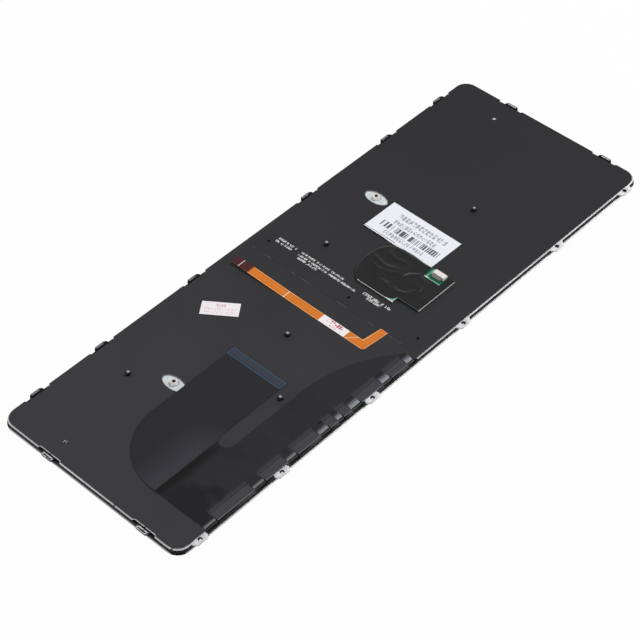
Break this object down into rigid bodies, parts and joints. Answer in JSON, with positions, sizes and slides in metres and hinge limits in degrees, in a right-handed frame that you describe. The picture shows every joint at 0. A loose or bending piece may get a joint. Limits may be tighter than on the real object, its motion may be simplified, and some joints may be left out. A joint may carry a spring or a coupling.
{
  "type": "laptop replacement keyboard",
  "caption": "Slim laptop keyboard lying face down: steel back plate with screw ears, black key frame with hooks, folded membrane ribbon, orange backlight cable and a pointing stick.",
  "frame": {"origin": "on the floor under the middle of the base plate, at the level of the key tops", "axes": "+Z towards the back of the keyboard, +Y towards the function row, +X towards the typist's left"},
  "size_m": [0.3132, 0.114, 0.0067],
  "materials": {
    "frame_plastic": "moulded, satin",
    "key_plastic": "fine moulded texture",
    "steel": "bright galvanised sheet",
    "clear_plastic": "clear sheet",
    "back_film": "matt dark grey film",
    "ribbon_film": "glossy black printed film",
    "blue_film": "translucent stiffener",
    "orange_film": "polyimide film",
    "red_film": "dark stiffener",
    "led": "moulded",
    "cover_film": "matt dark grey film",
    "board_green": "solder mask",
    "connector_white": "moulded",
    "latch_plastic": "moulded",
    "tape": "wrinkled glossy tape",
    "post_plastic": "moulded",
    "stick_rubber": "textured rubber",
    "label_paper": "white label paper",
    "nut_steel": "plated steel",
    "pin_plastic": "heat-staked plastic",
    "link_plastic": "moulded",
    "dome_rubber": "soft silicone"
  },
  "bodies": {
    "board": {"key_frame": "frame_plastic", "base_plate": "steel", "light_guide": "clear_plastic", "back_film": "back_film", "membrane_circuit": "ribbon_film", "ribbon_stiffener": "blue_film", "backlight_cable": "orange_film", "backlight_leds": "led", "cable_end_stiffener": "red_film", "cable_sticker": "label_paper", "strip_cover": "cover_film", "stick_board": "board_green", "board_connector": "connector_white", "board_tape": "tape", "stick_post": "post_plastic", "stick_cap": "stick_rubber", "barcode_label": "label_paper", "inspection_sticker": "label_paper", "screw_bosses": "nut_steel", "locating_pins": "pin_plastic", "scissor_links": "link_plastic", "rubber_domes": "dome_rubber", "function_row_keys": "key_plastic", "number_row_keys": "key_plastic", "symbol_keys": "key_plastic", "navigation_keys": "key_plastic", "modifier_keys": "key_plastic"},
    "key_a": {"key_a": "key_plastic"},
    "key_b": {"key_b": "key_plastic"},
    "key_c": {"key_c": "key_plastic"},
    "key_d": {"key_d": "key_plastic"},
    "key_e": {"key_e": "key_plastic"},
    "key_f": {"key_f": "key_plastic"},
    "key_g": {"key_g": "key_plastic"},
    "key_h": {"key_h": "key_plastic"},
    "key_i": {"key_i": "key_plastic"},
    "key_j": {"key_j": "key_plastic"},
    "key_k": {"key_k": "key_plastic"},
    "key_l": {"key_l": "key_plastic"},
    "key_m": {"key_m": "key_plastic"},
    "key_n": {"key_n": "key_plastic"},
    "key_o": {"key_o": "key_plastic"},
    "key_p": {"key_p": "key_plastic"},
    "key_q": {"key_q": "key_plastic"},
    "key_r": {"key_r": "key_plastic"},
    "key_s": {"key_s": "key_plastic"},
    "key_t": {"key_t": "key_plastic"},
    "key_u": {"key_u": "key_plastic"},
    "key_v": {"key_v": "key_plastic"},
    "key_w": {"key_w": "key_plastic"},
    "key_x": {"key_x": "key_plastic"},
    "key_y": {"key_y": "key_plastic"},
    "key_z": {"key_z": "key_plastic"},
    "key_backspace": {"key_backspace": "key_plastic"},
    "key_tab": {"key_tab": "key_plastic"},
    "key_enter": {"key_enter": "key_plastic"},
    "key_left_shift": {"key_left_shift": "key_plastic"},
    "key_right_shift": {"key_right_shift": "key_plastic"},
    "key_space": {"key_space": "key_plastic"},
    "latch": {"connector_latch": "latch_plastic"}
  },
  "joints": [
    {"name": "press_a", "type": "slide", "parent": "board", "child": "key_a", "axis": [0, 0, 1], "range_m": [0, 0.0014], "stiffness_N_per_m": 350, "deforming": ["scissor_links", "rubber_domes"]},
    {"name": "press_b", "type": "slide", "parent": "board", "child": "key_b", "axis": [0, 0, 1], "range_m": [0, 0.0014], "stiffness_N_per_m": 350, "deforming": ["scissor_links", "rubber_domes"]},
    {"name": "press_c", "type": "slide", "parent": "board", "child": "key_c", "axis": [0, 0, 1], "range_m": [0, 0.0014], "stiffness_N_per_m": 350, "deforming": ["scissor_links", "rubber_domes"]},
    {"name": "press_d", "type": "slide", "parent": "board", "child": "key_d", "axis": [0, 0, 1], "range_m": [0, 0.0014], "stiffness_N_per_m": 350, "deforming": ["scissor_links", "rubber_domes"]},
    {"name": "press_e", "type": "slide", "parent": "board", "child": "key_e", "axis": [0, 0, 1], "range_m": [0, 0.0014], "stiffness_N_per_m": 350, "deforming": ["scissor_links", "rubber_domes"]},
    {"name": "press_f", "type": "slide", "parent": "board", "child": "key_f", "axis": [0, 0, 1], "range_m": [0, 0.0014], "stiffness_N_per_m": 350, "deforming": ["scissor_links", "rubber_domes"]},
    {"name": "press_g", "type": "slide", "parent": "board", "child": "key_g", "axis": [0, 0, 1], "range_m": [0, 0.0014], "stiffness_N_per_m": 350, "deforming": ["scissor_links", "rubber_domes"]},
    {"name": "press_h", "type": "slide", "parent": "board", "child": "key_h", "axis": [0, 0, 1], "range_m": [0, 0.0014], "stiffness_N_per_m": 350, "deforming": ["scissor_links", "rubber_domes"]},
    {"name": "press_i", "type": "slide", "parent": "board", "child": "key_i", "axis": [0, 0, 1], "range_m": [0, 0.0014], "stiffness_N_per_m": 350, "deforming": ["scissor_links", "rubber_domes"]},
    {"name": "press_j", "type": "slide", "parent": "board", "child": "key_j", "axis": [0, 0, 1], "range_m": [0, 0.0014], "stiffness_N_per_m": 350, "deforming": ["scissor_links", "rubber_domes"]},
    {"name": "press_k", "type": "slide", "parent": "board", "child": "key_k", "axis": [0, 0, 1], "range_m": [0, 0.0014], "stiffness_N_per_m": 350, "deforming": ["scissor_links", "rubber_domes"]},
    {"name": "press_l", "type": "slide", "parent": "board", "child": "key_l", "axis": [0, 0, 1], "range_m": [0, 0.0014], "stiffness_N_per_m": 350, "deforming": ["scissor_links", "rubber_domes"]},
    {"name": "press_m", "type": "slide", "parent": "board", "child": "key_m", "axis": [0, 0, 1], "range_m": [0, 0.0014], "stiffness_N_per_m": 350, "deforming": ["scissor_links", "rubber_domes"]},
    {"name": "press_n", "type": "slide", "parent": "board", "child": "key_n", "axis": [0, 0, 1], "range_m": [0, 0.0014], "stiffness_N_per_m": 350, "deforming": ["scissor_links", "rubber_domes"]},
    {"name": "press_o", "type": "slide", "parent": "board", "child": "key_o", "axis": [0, 0, 1], "range_m": [0, 0.0014], "stiffness_N_per_m": 350, "deforming": ["scissor_links", "rubber_domes"]},
    {"name": "press_p", "type": "slide", "parent": "board", "child": "key_p", "axis": [0, 0, 1], "range_m": [0, 0.0014], "stiffness_N_per_m": 350, "deforming": ["scissor_links", "rubber_domes"]},
    {"name": "press_q", "type": "slide", "parent": "board", "child": "key_q", "axis": [0, 0, 1], "range_m": [0, 0.0014], "stiffness_N_per_m": 350, "deforming": ["scissor_links", "rubber_domes"]},
    {"name": "press_r", "type": "slide", "parent": "board", "child": "key_r", "axis": [0, 0, 1], "range_m": [0, 0.0014], "stiffness_N_per_m": 350, "deforming": ["scissor_links", "rubber_domes"]},
    {"name": "press_s", "type": "slide", "parent": "board", "child": "key_s", "axis": [0, 0, 1], "range_m": [0, 0.0014], "stiffness_N_per_m": 350, "deforming": ["scissor_links", "rubber_domes"]},
    {"name": "press_t", "type": "slide", "parent": "board", "child": "key_t", "axis": [0, 0, 1], "range_m": [0, 0.0014], "stiffness_N_per_m": 350, "deforming": ["scissor_links", "rubber_domes"]},
    {"name": "press_u", "type": "slide", "parent": "board", "child": "key_u", "axis": [0, 0, 1], "range_m": [0, 0.0014], "stiffness_N_per_m": 350, "deforming": ["scissor_links", "rubber_domes"]},
    {"name": "press_v", "type": "slide", "parent": "board", "child": "key_v", "axis": [0, 0, 1], "range_m": [0, 0.0014], "stiffness_N_per_m": 350, "deforming": ["scissor_links", "rubber_domes"]},
    {"name": "press_w", "type": "slide", "parent": "board", "child": "key_w", "axis": [0, 0, 1], "range_m": [0, 0.0014], "stiffness_N_per_m": 350, "deforming": ["scissor_links", "rubber_domes"]},
    {"name": "press_x", "type": "slide", "parent": "board", "child": "key_x", "axis": [0, 0, 1], "range_m": [0, 0.0014], "stiffness_N_per_m": 350, "deforming": ["scissor_links", "rubber_domes"]},
    {"name": "press_y", "type": "slide", "parent": "board", "child": "key_y", "axis": [0, 0, 1], "range_m": [0, 0.0014], "stiffness_N_per_m": 350, "deforming": ["scissor_links", "rubber_domes"]},
    {"name": "press_z", "type": "slide", "parent": "board", "child": "key_z", "axis": [0, 0, 1], "range_m": [0, 0.0014], "stiffness_N_per_m": 350, "deforming": ["scissor_links", "rubber_domes"]},
    {"name": "press_backspace", "type": "slide", "parent": "board", "child": "key_backspace", "axis": [0, 0, 1], "range_m": [0, 0.0014], "stiffness_N_per_m": 350, "deforming": ["scissor_links", "rubber_domes"]},
    {"name": "press_tab", "type": "slide", "parent": "board", "child": "key_tab", "axis": [0, 0, 1], "range_m": [0, 0.0014], "stiffness_N_per_m": 350, "deforming": ["scissor_links", "rubber_domes"]},
    {"name": "press_enter", "type": "slide", "parent": "board", "child": "key_enter", "axis": [0, 0, 1], "range_m": [0, 0.0014], "stiffness_N_per_m": 350, "deforming": ["scissor_links", "rubber_domes"]},
    {"name": "press_left_shift", "type": "slide", "parent": "board", "child": "key_left_shift", "axis": [0, 0, 1], "range_m": [0, 0.0014], "stiffness_N_per_m": 350, "deforming": ["scissor_links", "rubber_domes"]},
    {"name": "press_right_shift", "type": "slide", "parent": "board", "child": "key_right_shift", "axis": [0, 0, 1], "range_m": [0, 0.0014], "stiffness_N_per_m": 350, "deforming": ["scissor_links", "rubber_domes"]},
    {"name": "press_space", "type": "slide", "parent": "board", "child": "key_space", "axis": [0, 0, 1], "range_m": [0, 0.0014], "stiffness_N_per_m": 350, "deforming": ["scissor_links", "rubber_domes"]},
    {"name": "latch_flip", "type": "hinge", "parent": "board", "child": "latch", "pos_m": [0.03685, -0.0288, 0.00602], "axis": [0, 1, 0], "range_deg": [0, 80]}
  ]
}
